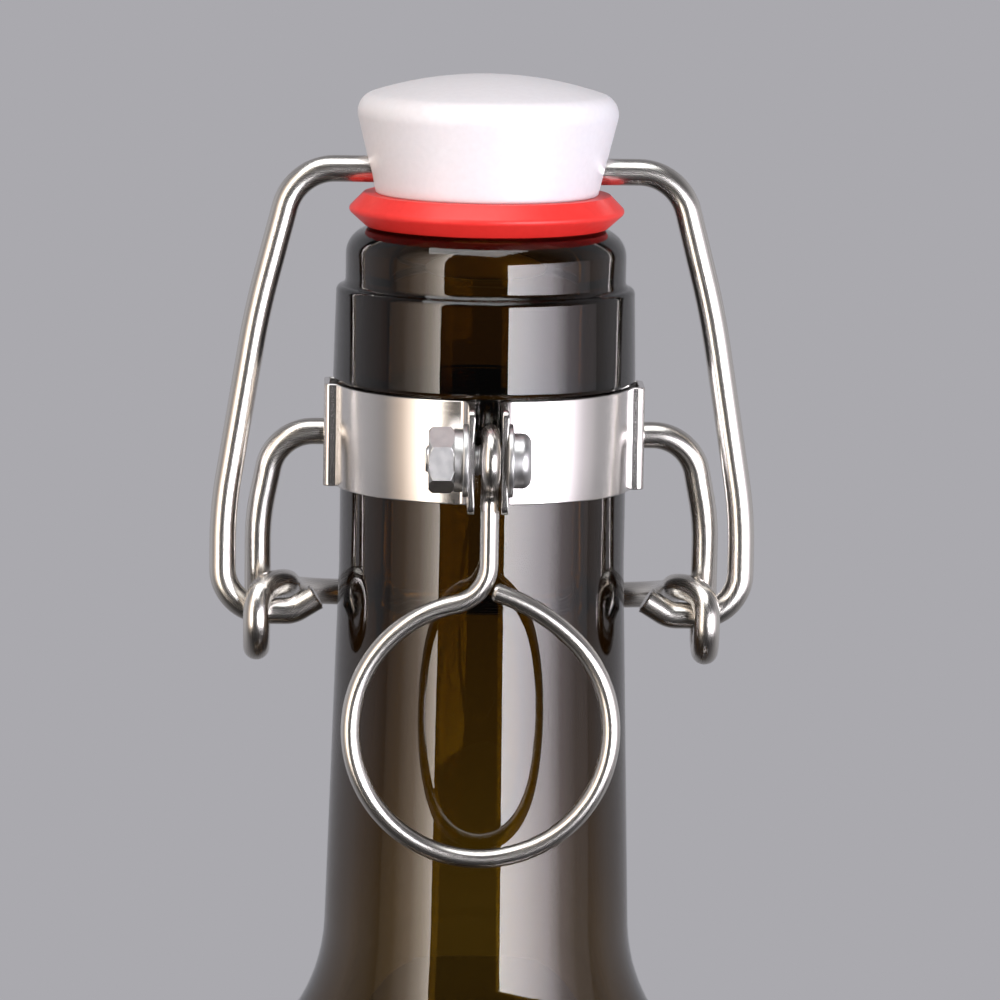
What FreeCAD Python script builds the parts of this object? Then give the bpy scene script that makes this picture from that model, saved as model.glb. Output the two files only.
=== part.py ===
import FreeCAD
import Part
import math
import os

# Swing top bottle: a glass bottle with a wire lever closure, in millimetres.
# The origin is the middle of the base, on the surface that the bottle stands on. +Z is up.
# The pull ring hangs in front, towards -Y, and the lever's bar lies behind the neck, towards +Y.

# Glass bottle
bottle_height = 300.0
body_radius = 37.75
body_wall = 3.2
base_wall = 4.0
heel_round = 6.0
bearing_ring_width = 5.75
punt_height = 10.0
shoulder_radius = 30.0
flare_radius = 18.0
flare_depth = 68.5
neck_straight_depth = 33.0
neck_radius = 13.95
neck_foot_radius = 14.97
bore_radius = 9.25
lip_radius = 13.65
lip_outer_round = 2.6
lip_inner_round = 0.95
band_radius = 14.75
band_top_depth = 5.6
band_bottom_depth = 15.0
band_edge_round = 0.6
band_draft = 0.2
band_step_height = 1.3

# Steel collar round the neck
collar_thickness = 0.6
collar_height = 10.0
collar_clearance = 0.1
collar_drop = 0.1
ear_gap = 2.6
ear_bend_radius = 0.8
ear_reach = 6.9
ear_corner_round = 0.8
channel_width = 6.0
channel_depth = 0.95
channel_edge_round = 0.35

# Clamp screw, nut and washers
screw_diameter = 3.0
screw_reach = 4.8
screw_clearance = 0.1
screw_end = 0.3
screw_end_chamfer = 0.35
head_diameter = 5.3
head_height = 1.7
head_round = 0.9
recess_length = 3.0
recess_width = 0.7
recess_depth = 0.9
thread_clearance = 0.03
nut_flats = 5.5
nut_height = 2.4
nut_chamfer = 0.35
washer_diameter = 7.0
washer_thickness = 0.5
lock_diameter = 6.0
lock_thickness = 0.8
lock_split = 0.6
lock_split_angle = 20.0

# Pull ring
ring_wire = 1.8
ring_radius = 12.4
ring_offset = 0.55
ring_stem = 9.9
ring_stem_bend = 4.0
ring_end_gap = 0.3
ring_end_turn = 45.0
ring_end_radius = 18.5
ring_eye_bend = 2.0
ring_eye_gap = 0.4
ring_side_play = 0.25

# Wire of the lever and the stopper bail
closure_wire = 2.6
pivot_clearance = 0.06

# Lever
lever_end_gap = 0.5
lever_shoulder_out = 4.6
lever_leg_out = 1.7
lever_flare_drop = 8.5
lever_bend = 4.5
lever_flare_bend = 24.0
eye_drop = 17.9
eye_lead = 1.5
eye_clearance = 0.55
eye_shift = 2.9
eye_cross_turn = 130.0
eye_cross_lean = 25.0
eye_cross_in = 0.4
eye_cross_back = 2.2
lever_slope = 12.0
bar_gap = 1.75
bar_corner = 8.0

# Stopper bail
cross_wire_height = 5.6
bail_shoulder_out = 5.95
bail_corner = 5.0
bail_upper_drop = 13.8
bail_upper_spread = 3.55
bail_upper_bend = 80.0
bail_lower_drop = 33.3
bail_lower_bend = 40.0
bail_lever_gap = 0.8
hook_bend = 4.2
hook_bearing_gap = 0.2
tip_length = 2.8
tip_slope = 32.0
tip_bend = 2.5

# Stopper cap
cap_radius = 12.65
cap_rim_height = 11.2
cap_top_height = 14.9
cap_rim_round = 2.0
cap_foot_radius = 10.8
seat_height = 3.35
shank_radius = 5.0
bead_radius = 6.0
bead_height = 1.4
bead_round = 0.9

# Stopper gasket
shank_clearance = 0.05
gasket_top_radius = 12.0
gasket_rim_radius = 13.35
gasket_rim_height = 1.8
gasket_rim_round = 0.45
gasket_foot_radius = 11.8
seal_gap = 0.2
plug_clearance = 0.35
plug_taper = 1.1
plug_depth = 3.0
plug_tip_round = 0.6


def vector(x, y, z):
    return FreeCAD.Vector(x, y, z)


UP = vector(0, 0, 1)
RIGHT = vector(1, 0, 0)
ORIGIN = vector(0, 0, 0)


def arc_edge(start, end, centre):
    """An arc under a half circle from start to end about centre."""
    towards_middle = (start - centre) + (end - centre)
    towards_middle.normalize()
    middle = centre + towards_middle * (start - centre).Length
    return Part.Arc(start, middle, end).toShape()


def outline(start, moves, place):
    """A closed face: each move is a point, or a point and the centre of the arc that leads to it."""
    edges = []
    here = place(start)
    for move in moves + [(start, None)]:
        goal = place(move[0])
        if (goal - here).Length < 1e-7:
            continue
        if move[1] is None:
            edges.append(Part.LineSegment(here, goal).toShape())
        else:
            edges.append(arc_edge(here, goal, place(move[1])))
        here = goal
    return Part.Face(Part.Wire(edges))


def lathe(start, moves):
    """Turns an outline of (radius, height) points about the Z axis."""
    face = outline(start, moves, lambda point: vector(point[0], 0, point[1]))
    return face.revolve(ORIGIN, UP, 360)


def touch_point(point, centre, radius, side):
    """Where a straight line from point touches a circle, on its left (1) or right (-1)."""
    across = centre[0] - point[0]
    along = centre[1] - point[1]
    distance = math.hypot(across, along)
    heading = math.atan2(along, across) - side * math.asin(radius / distance)
    reach = math.sqrt(distance ** 2 - radius ** 2)
    return (point[0] + reach * math.cos(heading), point[1] + reach * math.sin(heading))


def tangent_arc(start, tangent, end):
    """The arc that leaves start along a unit tangent and reaches end."""
    chord = end - start
    along = chord / chord.Length
    sideways = tangent - along * tangent.dot(along)
    half_turn = math.atan2(sideways.Length, tangent.dot(along))
    rise = chord.Length / 2 * math.tan(half_turn / 2)
    return Part.Arc(start, start + chord / 2 + sideways / sideways.Length * rise, end).toShape()


def wire_edges(first, second):
    """Joins two (point, unit tangent) stations with a line, or with two arcs that share a tangent."""
    start, leaving = first
    end, arriving = second
    chord = end - start
    if chord.cross(leaving).Length < 1e-6 and chord.cross(arriving).Length < 1e-6:
        return [Part.LineSegment(start, end).toShape()]
    both = chord.dot(leaving + arriving)
    spread = 2 * (1 - leaving.dot(arriving))
    if spread < 1e-9:
        handle = chord.dot(chord) / (2 * both)
    else:
        handle = (math.sqrt(both ** 2 + spread * chord.dot(chord)) - both) / spread
    middle = (start + leaving * handle + end - arriving * handle) / 2
    turned = (end - arriving * handle) - middle
    turned.normalize()
    return [tangent_arc(start, leaving, middle), tangent_arc(middle, turned, end)]


def bent_wire(stations, diameter):
    """A round wire carried along its stations, checked against its section times its length."""
    edges = []
    for first, second in zip(stations, stations[1:]):
        edges += wire_edges(first, second)
    path = Part.Wire(edges)
    start, heading = stations[0]
    section = Part.Wire(Part.Circle(start, heading, diameter / 2).toShape())
    solid = path.makePipeShell([section], True, False)
    expected = math.pi * diameter ** 2 / 4 * path.Length
    print("wire length %.2f, volume %.2f of %.2f" % (path.Length, solid.Volume, expected))
    return solid


def bend(before, corner, after, radius):
    """The two stations of a bend of the given radius at a corner."""
    arriving = corner - before
    arriving.normalize()
    leaving = after - corner
    leaving.normalize()
    setback = radius * math.tan(arriving.getAngle(leaving) / 2)
    return [(corner - arriving * setback, arriving), (corner + leaving * setback, leaving)]


def both_sides(half):
    """Stations of a whole wire from those of its +X half, which starts at the middle plane."""
    mirrored = []
    for point, tangent in reversed(half):
        mirrored.append((vector(-point.x, point.y, point.z), vector(tangent.x, -tangent.y, -tangent.z)))
    return mirrored + half


def bore_along_x(radius, half_length, y, z):
    """A round cutter along X, as long on both sides of the middle plane."""
    return Part.makeCylinder(radius, 2 * half_length, vector(-half_length, y, z), RIGHT)


def along_x(shape, x):
    """Lays a shape that was made along Z on the screw's axis, with its foot at x."""
    laid = shape.copy()
    laid.rotate(ORIGIN, vector(0, 1, 0), 90)
    laid.translate(vector(x, screw_y, collar_middle))
    return laid


# Places that several pieces share
lip = bottle_height
collar_top = lip - band_bottom_depth - collar_drop
collar_middle = collar_top - collar_height / 2
collar_inner = neck_radius + collar_clearance
collar_outer = collar_inner + collar_thickness
channel_face = collar_outer + channel_depth
screw_y = -(collar_outer + screw_reach)
ear_front = -(collar_outer + ear_reach)
screw_radius = screw_diameter / 2
screw_hole = screw_radius + screw_clearance
wire_radius = closure_wire / 2
pivot_hole = wire_radius + pivot_clearance
eye_radius = closure_wire + eye_clearance
eye_y = -eye_lead
eye_z = collar_middle - eye_drop
hook_z = eye_z + eye_clearance - hook_bearing_gap
cross_wire_z = lip + cross_wire_height
lever_shoulder_x = channel_face + lever_shoulder_out
lever_leg_x = lever_shoulder_x + lever_leg_out
bail_leg_x = lever_leg_x + closure_wire + bail_lever_gap
ear_outer = ear_gap / 2 + collar_thickness
lock_foot = ear_outer + washer_thickness
nut_foot = lock_foot + lock_thickness
gasket_bottom = lip - plug_depth


def make_bottle():
    """The glass, turned in one piece: outside from the lip down, then the punt and the inside."""
    neck_end = lip - flare_depth
    lean = math.atan2(neck_foot_radius - neck_radius, flare_depth - neck_straight_depth)
    flare = (neck_foot_radius + flare_radius * math.cos(lean), neck_end + flare_radius * math.sin(lean))
    shoulder_r = body_radius - shoulder_radius
    spread = flare_radius + shoulder_radius
    shoulder = (shoulder_r, flare[1] - math.sqrt(spread ** 2 - (flare[0] - shoulder_r) ** 2))

    def from_flare(distance):
        share = distance / spread
        return (flare[0] + (shoulder[0] - flare[0]) * share, flare[1] + (shoulder[1] - flare[1]) * share)

    step = band_radius - band_draft - lip_radius
    step_round = (band_step_height ** 2 + step ** 2) / (4 * step)
    step_top = lip - band_top_depth + band_step_height / 2
    step_foot = step_top - band_step_height
    step_out = lip_radius + step
    ledge = lip - band_bottom_depth
    bearing_outer = body_radius - heel_round
    bearing_inner = bearing_outer - bearing_ring_width
    punt_radius = (bearing_inner ** 2 + punt_height ** 2) / (2 * punt_height)
    punt_centre = (0, punt_height - punt_radius)
    inside_radius = body_radius - body_wall
    inside_heel = heel_round - body_wall
    floor_r = math.sqrt((punt_radius + base_wall) ** 2 - (base_wall - punt_centre[1]) ** 2)
    inside_flare = flare_radius + body_wall
    inside_neck = (flare[0] - inside_flare * math.cos(lean), flare[1] - inside_flare * math.sin(lean))
    outside = [
        ((lip_radius - lip_outer_round, lip), None),
        ((lip_radius, lip - lip_outer_round), (lip_radius - lip_outer_round, lip - lip_outer_round)),
        ((lip_radius, step_top), None),
        ((lip_radius + step / 2, lip - band_top_depth), (lip_radius + step_round, step_top)),
        ((step_out, step_foot), (step_out - step_round, step_foot)),
        ((band_radius, ledge + band_edge_round), None),
        ((band_radius - band_edge_round, ledge), (band_radius - band_edge_round, ledge + band_edge_round)),
        ((neck_radius, ledge), None),
        ((neck_radius, lip - neck_straight_depth), None),
        ((neck_foot_radius, neck_end), None),
        (from_flare(flare_radius), flare),
        ((body_radius, shoulder[1]), shoulder),
        ((body_radius, heel_round), None),
        ((bearing_outer, 0), (bearing_outer, heel_round)),
        ((bearing_inner, 0), None),
        ((0, punt_height), punt_centre),
    ]
    inside = [
        ((0, punt_height + base_wall), None),
        ((floor_r, base_wall), punt_centre),
        ((inside_radius - inside_heel, base_wall), None),
        ((inside_radius, base_wall + inside_heel), (inside_radius - inside_heel, base_wall + inside_heel)),
        ((inside_radius, shoulder[1]), None),
        (from_flare(inside_flare), shoulder),
        (inside_neck, flare),
        ((bore_radius, lip - neck_straight_depth), None),
        ((bore_radius, lip - lip_inner_round), None),
        ((bore_radius + lip_inner_round, lip), (bore_radius + lip_inner_round, lip - lip_inner_round)),
    ]
    return lathe((bore_radius + lip_inner_round, lip), outside + inside)


def make_collar():
    """A strip bent round the neck, with its two ends turned forward as ears."""
    bend_x = ear_outer + ear_bend_radius
    bend_y = -math.sqrt((collar_outer + ear_bend_radius) ** 2 - bend_x ** 2)
    reach = collar_outer + ear_bend_radius
    inner = (bend_x * collar_inner / reach, bend_y * collar_inner / reach)
    outer = (bend_x * collar_outer / reach, bend_y * collar_outer / reach)
    half_gap = ear_gap / 2
    moves = [
        ((half_gap, bend_y), None),
        (inner, (bend_x, bend_y)),
        ((0, collar_inner), (0, 0)),
        ((-inner[0], inner[1]), (0, 0)),
        ((-half_gap, bend_y), (-bend_x, bend_y)),
        ((-half_gap, ear_front), None),
        ((-ear_outer, ear_front), None),
        ((-ear_outer, bend_y), None),
        ((-outer[0], outer[1]), (-bend_x, bend_y)),
        ((0, collar_outer), (0, 0)),
        (outer, (0, 0)),
        ((ear_outer, bend_y), (bend_x, bend_y)),
        ((ear_outer, ear_front), None),
    ]
    foot = collar_top - collar_height
    strip = outline((half_gap, ear_front), moves, lambda point: vector(point[0], point[1], foot))
    collar = strip.extrude(UP * collar_height)
    front_edges = []
    for edge in collar.Edges:
        low, high = edge.BoundBox.YMin, edge.BoundBox.YMax
        if high - low < 1e-6 and abs(low - ear_front) < 1e-6 and edge.BoundBox.ZLength < 1e-6:
            front_edges.append(edge)
    collar = collar.makeFillet(ear_corner_round, front_edges)
    pocket_width = channel_width - 2 * collar_thickness
    pocket_face = channel_face - collar_thickness
    block = Part.makeBox(2 * channel_face, channel_width, collar_height)
    block.translate(vector(-channel_face, -channel_width / 2, foot))
    corners = [edge for edge in block.Edges if edge.BoundBox.ZLength > collar_height / 2]
    block = block.makeFillet(channel_edge_round, corners)
    pocket = Part.makeBox(2 * pocket_face, pocket_width, collar_height)
    pocket.translate(vector(-pocket_face, -pocket_width / 2, foot))
    inside = Part.makeCylinder(collar_inner, collar_height, vector(0, 0, foot))
    pivot = bore_along_x(pivot_hole, channel_face, 0, collar_middle)
    screw = bore_along_x(screw_hole, ear_outer, screw_y, collar_middle)
    return collar.fuse(block).cut(inside).cut(pocket).cut(pivot).cut(screw).removeSplitter()


def make_screw():
    """A pan head screw from the right, with a cross recess in its head."""
    foot = -(2 * ear_outer + 2 * washer_thickness + lock_thickness + nut_height + screw_end)
    head_radius = head_diameter / 2
    screw = lathe((0, foot), [
        ((screw_radius - screw_end_chamfer, foot), None),
        ((screw_radius, foot + screw_end_chamfer), None),
        ((screw_radius, 0), None),
        ((head_radius, 0), None),
        ((head_radius, head_height - head_round), None),
        ((head_radius - head_round, head_height), (head_radius - head_round, head_height - head_round)),
        ((0, head_height), None),
    ])
    for turn in (0, 90):
        slot = Part.makeBox(recess_length, recess_width, recess_depth)
        slot.translate(vector(-recess_length / 2, -recess_width / 2, head_height - recess_depth))
        slot.rotate(ORIGIN, UP, turn)
        screw = screw.cut(slot)
    return along_x(screw, ear_outer + washer_thickness)


def make_nut():
    """A hexagon nut on the left, with both ends chamfered, standing on one of its corners."""
    corner_radius = nut_flats / math.sqrt(3)
    corners = []
    for side in range(7):
        turn = math.radians(60 * side)
        corners.append(vector(corner_radius * math.cos(turn), corner_radius * math.sin(turn), 0))
    prism = Part.Face(Part.makePolygon(corners)).extrude(UP * nut_height)
    inner = corner_radius - nut_chamfer
    barrel = lathe((0, 0), [
        ((inner, 0), None),
        ((corner_radius, nut_chamfer), None),
        ((corner_radius, nut_height - nut_chamfer), None),
        ((inner, nut_height), None),
        ((0, nut_height), None),
    ])
    hole = Part.makeCylinder(screw_radius + thread_clearance, nut_height)
    return along_x(prism.common(barrel).cut(hole), -nut_foot - nut_height)


def make_washer(diameter, thickness, x):
    """A flat washer with its foot at x."""
    disc = Part.makeCylinder(diameter / 2, thickness)
    return along_x(disc.cut(Part.makeCylinder(screw_hole, thickness)), x)


def make_lock_washer():
    """A spring washer, split at its top by a slanted cut."""
    disc = Part.makeCylinder(lock_diameter / 2, lock_thickness)
    disc = disc.cut(Part.makeCylinder(screw_hole, lock_thickness))
    split = Part.makeBox(lock_diameter, lock_split, lock_diameter)
    split.translate(vector(-lock_diameter, -lock_split / 2, (lock_thickness - lock_diameter) / 2))
    split.rotate(vector(0, 0, lock_thickness / 2), RIGHT, lock_split_angle)
    return along_x(disc.cut(split), -nut_foot)


def make_ring():
    """One wire: an eye round the screw, a stem, and a ring whose end flattens out up to the stem's bend."""
    radius = screw_hole + ring_wire / 2
    stem_x = ring_side_play
    spread = radius + ring_eye_bend
    drop = math.sqrt(spread ** 2 - ring_eye_bend ** 2)
    leave = math.atan2(-drop, -ring_eye_bend) + 2 * math.pi
    eye_turn = math.acos(1 - ((ring_wire + ring_eye_gap) / spread) ** 2 / 2)
    start = leave - 2 * math.pi + 2 * eye_turn

    def eye_station(turn):
        point = vector(stem_x, screw_y + radius * math.cos(turn), collar_middle + radius * math.sin(turn))
        return (point, vector(0, -math.sin(turn), math.cos(turn)))

    down = vector(0, 0, -1)
    stations = [eye_station(start + (leave - start) * step / 4) for step in range(5)]
    stations.append((vector(stem_x, screw_y, collar_middle - drop), down))
    stem_foot = collar_middle - ring_stem
    stations.append((vector(stem_x, screw_y, stem_foot), down))
    span = ring_radius + ring_stem_bend
    aside = ring_stem_bend - ring_offset
    centre_z = stem_foot - math.sqrt(span ** 2 - aside ** 2)
    join = math.atan2(stem_foot - centre_z, -aside)
    centre_x = stem_x - ring_offset

    def add_arc(x, z, radius, first, last, count):
        for step in range(1, count + 1):
            turn = first + (last - first) * step / count
            place = vector(x + radius * math.cos(turn), screw_y, z + radius * math.sin(turn))
            stations.append((place, vector(-math.sin(turn), 0, math.cos(turn))))

    ring_end = math.radians(ring_end_turn) + 2 * math.pi
    add_arc(centre_x, centre_z, ring_radius, join, join, 1)
    add_arc(centre_x, centre_z, ring_radius, join, ring_end, 4)
    flat_x = centre_x - (ring_end_radius - ring_radius) * math.cos(ring_end)
    flat_z = centre_z - (ring_end_radius - ring_radius) * math.sin(ring_end)
    across = stem_x - ring_stem_bend - flat_x
    rise = stem_foot - flat_z
    distance = math.hypot(across, rise)
    keep = ring_stem_bend + ring_wire / 2 + ring_end_gap
    closing = (ring_end_radius ** 2 + distance ** 2 - keep ** 2) / (2 * ring_end_radius * distance)
    last_turn = math.atan2(rise, across) - math.acos(closing) + 2 * math.pi
    add_arc(flat_x, flat_z, ring_end_radius, ring_end, last_turn, 1)
    return bent_wire(stations, ring_wire)


def make_lever():
    """One wire: a bar behind the neck, an eye on each side, and legs up to the pivots in the collar."""
    slope = math.radians(lever_slope)
    forward = vector(0, -math.cos(slope), math.sin(slope))
    eye_start = math.pi / 2 - slope
    run_x = lever_leg_x - eye_shift
    pivot = (0, collar_middle)
    touch = touch_point(pivot, (eye_y, eye_z), eye_radius, -1)
    lean = math.atan2(touch[0], collar_middle - touch[1])
    eye_end = 2 * math.pi + lean

    def eye_point(turn, x):
        return vector(x, eye_y + eye_radius * math.cos(turn), eye_z + eye_radius * math.sin(turn))

    def eye_station(turn):
        return (eye_point(turn, lever_leg_x), vector(0, -math.sin(turn), math.cos(turn)))

    top = eye_point(eye_start, run_x)

    def run_point(y):
        return vector(run_x, y, top.z - (y - top.y) * math.tan(slope))

    corner = run_point(neck_radius + bar_gap + wire_radius)
    run_end = run_point(eye_y + eye_cross_back)
    crossing = math.radians(eye_cross_turn)
    aside = math.radians(eye_cross_lean)
    cross = eye_point(crossing, lever_leg_x - eye_cross_in)
    cross_way = eye_station(crossing)[1] * math.cos(aside) + RIGHT * math.sin(aside)
    shoulder = vector(lever_shoulder_x, 0, collar_middle)
    leg_foot = eye_point(eye_end, lever_leg_x)
    knee = vector(lever_leg_x, lever_flare_drop * math.tan(lean), collar_middle - lever_flare_drop)
    end = vector(neck_radius + lever_end_gap, 0, collar_middle)
    rise = knee - leg_foot
    half = bend(vector(0, corner.y, corner.z), corner, run_end, bar_corner)
    half.append((run_end, forward))
    half.append((cross, cross_way))
    half.append(eye_station(math.pi))
    half.append(eye_station(1.5 * math.pi))
    half.append((leg_foot, rise / rise.Length))
    half += bend(leg_foot, knee, shoulder, lever_flare_bend)
    half += bend(knee, shoulder, end, lever_bend)
    half.append((end, vector(-1, 0, 0)))
    return bent_wire(both_sides(half), closure_wire)


def make_bail():
    """One wire: a cross wire through the cap, legs that spread, and hooks through the lever's eyes."""
    shoulder = vector(cap_radius + bail_shoulder_out, 0, cross_wire_z)
    total_drop = cross_wire_z - hook_z

    def leg_point(x, drop):
        return vector(x, eye_y * drop / total_drop, cross_wire_z - drop)

    upper = leg_point(shoulder.x + bail_upper_spread, bail_upper_drop)
    lower = leg_point(bail_leg_x, bail_lower_drop)
    hook = vector(bail_leg_x, eye_y, hook_z)
    tip_bend_x = lever_leg_x - eye_shift - wire_radius + tip_bend * math.tan(math.radians(tip_slope) / 2)
    tip_root = vector(tip_bend_x, eye_y, hook_z)
    reach = math.radians(tip_slope)
    tip = tip_root + vector(-math.cos(reach), 0, math.sin(reach)) * tip_length
    half = bend(vector(0, 0, cross_wire_z), shoulder, upper, bail_corner)
    half += bend(shoulder, upper, lower, bail_upper_bend)
    half += bend(upper, lower, hook, bail_lower_bend)
    half += bend(lower, hook, tip_root, hook_bend)
    half += bend(hook, tip_root, tip, tip_bend)
    half.append((tip, (tip - tip_root) / tip_length))
    return bent_wire(both_sides(half), closure_wire)


def make_cap():
    """A domed cap with a soft rim, a tapered side, and a shank that ends in a retaining bead."""
    rim = (cap_radius - cap_rim_round, lip + cap_rim_height)
    top = lip + cap_top_height
    fall = cap_top_height - cap_rim_height
    dome = (rim[0] ** 2 + fall ** 2 - cap_rim_round ** 2) / (2 * (fall - cap_rim_round))
    dome_centre = (0, top - dome)
    share = dome / (dome - cap_rim_round)
    dome_end = (rim[0] * share, dome_centre[1] + (rim[1] - dome_centre[1]) * share)
    seat = lip + seat_height
    foot = (cap_foot_radius, seat)
    side_top = touch_point(foot, rim, cap_rim_round, 1)
    bead_top = gasket_bottom - shank_clearance
    bead_bottom = bead_top - bead_height
    cap = lathe((0, top), [
        (dome_end, dome_centre),
        (side_top, rim),
        (foot, None),
        ((shank_radius, seat), None),
        ((shank_radius, bead_top), None),
        ((bead_radius, bead_top), None),
        ((bead_radius, bead_bottom + bead_round), None),
        ((bead_radius - bead_round, bead_bottom), (bead_radius - bead_round, bead_bottom + bead_round)),
        ((0, bead_bottom), None),
    ])
    return cap.cut(bore_along_x(pivot_hole, cap_radius, 0, cross_wire_z))


def make_gasket():
    """A rubber ring under the cap: a rim that overhangs, a flat seal over the lip, and a tapered plug."""
    hole = shank_radius + shank_clearance
    seat = lip + seat_height
    seal = lip + seal_gap
    rim = (gasket_rim_radius - gasket_rim_round, lip + gasket_rim_height)
    rim_top = touch_point((gasket_top_radius, seat), rim, gasket_rim_round, -1)
    rim_foot = touch_point((gasket_foot_radius, seal), rim, gasket_rim_round, 1)
    plug = bore_radius - plug_clearance
    tip = plug - plug_taper
    return lathe((hole, seat), [
        ((gasket_top_radius, seat), None),
        (rim_top, None),
        (rim_foot, rim),
        ((gasket_foot_radius, seal), None),
        ((plug, seal), None),
        ((tip, gasket_bottom + plug_tip_round), None),
        ((tip - plug_tip_round, gasket_bottom), (tip - plug_tip_round, gasket_bottom + plug_tip_round)),
        ((hole, gasket_bottom), None),
    ])


nodes = {
    "glass_bottle": make_bottle(),
    "neck_collar": make_collar(),
    "clamp_screw": make_screw(),
    "clamp_nut": make_nut(),
    "lock_washer": make_lock_washer(),
    "nut_washer": make_washer(washer_diameter, washer_thickness, -lock_foot),
    "head_washer": make_washer(washer_diameter, washer_thickness, ear_outer),
    "pull_ring": make_ring(),
    "lever_bail": make_lever(),
    "stopper_bail": make_bail(),
    "stopper_cap": make_cap(),
    "stopper_gasket": make_gasket(),
}

os.makedirs("parts", exist_ok=True)
for name, shape in nodes.items():
    box = shape.BoundBox
    print("%-16s %d solid, valid %s, volume %.1f" % (name, len(shape.Solids), shape.isValid(), shape.Volume))
    print("  x %.2f to %.2f, y %.2f to %.2f, z %.2f to %.2f"
          % (box.XMin, box.XMax, box.YMin, box.YMax, box.ZMin, box.ZMax))
    shape.exportStep("parts/" + name + ".step")
print("pivot z %.3f, hook y %.3f z %.3f, cross wire z %.3f, screw y %.3f"
      % (collar_middle, eye_y, hook_z, cross_wire_z, screw_y))
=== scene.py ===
# %% [markdown]
# # A swing top bottle
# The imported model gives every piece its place, in metres, with Z up and the pull ring towards -Y.
# The script dresses it: each piece is drawn again as a fine numpy surface from the same sizes,
# gets a material, and rides on the body that moves it.

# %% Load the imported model
import math

import bmesh
import bpy
import numpy as np
from mathutils import Matrix, Vector


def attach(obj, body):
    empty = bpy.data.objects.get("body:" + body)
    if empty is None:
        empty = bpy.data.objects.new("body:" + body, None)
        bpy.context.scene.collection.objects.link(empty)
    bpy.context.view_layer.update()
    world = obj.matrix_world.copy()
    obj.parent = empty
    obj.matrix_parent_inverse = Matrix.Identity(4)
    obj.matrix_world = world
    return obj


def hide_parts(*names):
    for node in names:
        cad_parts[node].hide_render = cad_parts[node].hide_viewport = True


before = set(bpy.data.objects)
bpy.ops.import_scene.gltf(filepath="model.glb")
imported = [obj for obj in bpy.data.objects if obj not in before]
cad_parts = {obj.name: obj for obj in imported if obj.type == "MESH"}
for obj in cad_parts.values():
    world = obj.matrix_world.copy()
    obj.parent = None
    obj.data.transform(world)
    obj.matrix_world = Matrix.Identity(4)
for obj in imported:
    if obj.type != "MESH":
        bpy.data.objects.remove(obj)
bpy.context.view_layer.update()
MM = 0.001

# %% [markdown]
# ## From arrays to a piece
# A shape here is a grid of points: rows along one parameter, columns along the other.
# The quads between neighbours follow from the grid's size alone, so no vertex is visited in a loop.
# The last column repeats the first one and is merged after the UV map is written, so that a pattern
# can run round a piece without a smear at the seam.

# %% A grid of points becomes a mesh object


def grid_faces(rows, columns):
    """Quads of a grid: each joins a point, the next one in its row, and the two beyond in the next row."""
    corner = np.arange(rows - 1)[:, None] * columns + np.arange(columns - 1)[None, :]
    return np.stack([corner, corner + 1, corner + columns + 1, corner + columns], axis=-1).reshape(-1, 4)


CREASE = 35.0
SAME_PLACE = 1e-7


def mesh_object(name, points, flat=None, crease=CREASE):
    """An object at the origin from a (rows, columns, 3) grid in mm, with flat (rows, columns, 2) as its UV map."""
    rows, columns, _ = points.shape
    faces = grid_faces(rows, columns)
    mesh = bpy.data.meshes.new(name)
    mesh.from_pydata((points.reshape(-1, 3) * MM).tolist(), [], faces.tolist())
    if flat is not None:
        layer = mesh.uv_layers.new(name="lay")
        layer.uv.foreach_set("vector", flat.reshape(-1, 2)[faces.ravel()].astype(np.float32).ravel())
    tidy = bmesh.new()
    tidy.from_mesh(mesh)
    bmesh.ops.remove_doubles(tidy, verts=tidy.verts, dist=SAME_PLACE)
    bmesh.ops.dissolve_degenerate(tidy, edges=tidy.edges, dist=SAME_PLACE)
    bmesh.ops.recalc_face_normals(tidy, faces=tidy.faces)
    tidy.to_mesh(mesh)
    tidy.free()
    mesh.polygons.foreach_set("use_smooth", np.ones(len(mesh.polygons), dtype=bool))
    mesh.set_sharp_from_angle(angle=math.radians(crease))
    made = bpy.data.objects.new(name, mesh)
    bpy.context.scene.collection.objects.link(made)
    return made


def settle(piece, body, node, material):
    """The piece stands for a node of the model, moves with its body and takes its finish."""
    piece.data.materials.clear()
    piece.data.materials.append(material)
    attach(piece, body)
    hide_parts(node)
    print(piece.name, "rides on", body, "with", len(piece.data.polygons), "faces")


print("a grid of 3 by 4 points has", len(grid_faces(3, 4)), "quads")

# %% [markdown]
# ## Materials from nodes
# Every finish is a Principled shader with a procedural pattern for its colour, roughness or bump.
# Colours are written as sRGB hex values, as a paint chart gives them, and turned to linear light.

# %% Colour and node helpers


def linear(code):
    """An sRGB hex value as linear RGBA: each channel by the sRGB curve."""
    channels = np.array([int(code[i:i + 2], 16) for i in (1, 3, 5)]) / 255
    light = np.where(channels <= 0.04045, channels / 12.92, ((channels + 0.055) / 1.055) ** 2.4)
    return (*light.tolist(), 1.0)


def add_node(tree, kind, inputs=None, **settings):
    """Adds a node, sets its properties, and fills or links each named input."""
    made = tree.nodes.new(kind)
    for name, value in settings.items():
        setattr(made, name, value)
    for name, value in (inputs or {}).items():
        if isinstance(value, bpy.types.NodeSocket):
            tree.links.new(value, made.inputs[name])
        else:
            made.inputs[name].default_value = value
    return made


def set_stops(ramp, stops):
    """Gives a colour ramp its stops: pairs of a place from 0 to 1 and a hex colour."""
    while len(ramp.color_ramp.elements) < len(stops):
        ramp.color_ramp.elements.new(0.5)
    for element, (position, colour) in zip(ramp.color_ramp.elements, stops):
        element.position = position
        element.color = linear(colour)


def blank_material(name):
    """An empty material tree and its output node."""
    material = bpy.data.materials.new(name)
    material.use_nodes = True
    material.node_tree.nodes.clear()
    print("material", name)
    return material, material.node_tree, add_node(material.node_tree, "ShaderNodeOutputMaterial")


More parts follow.
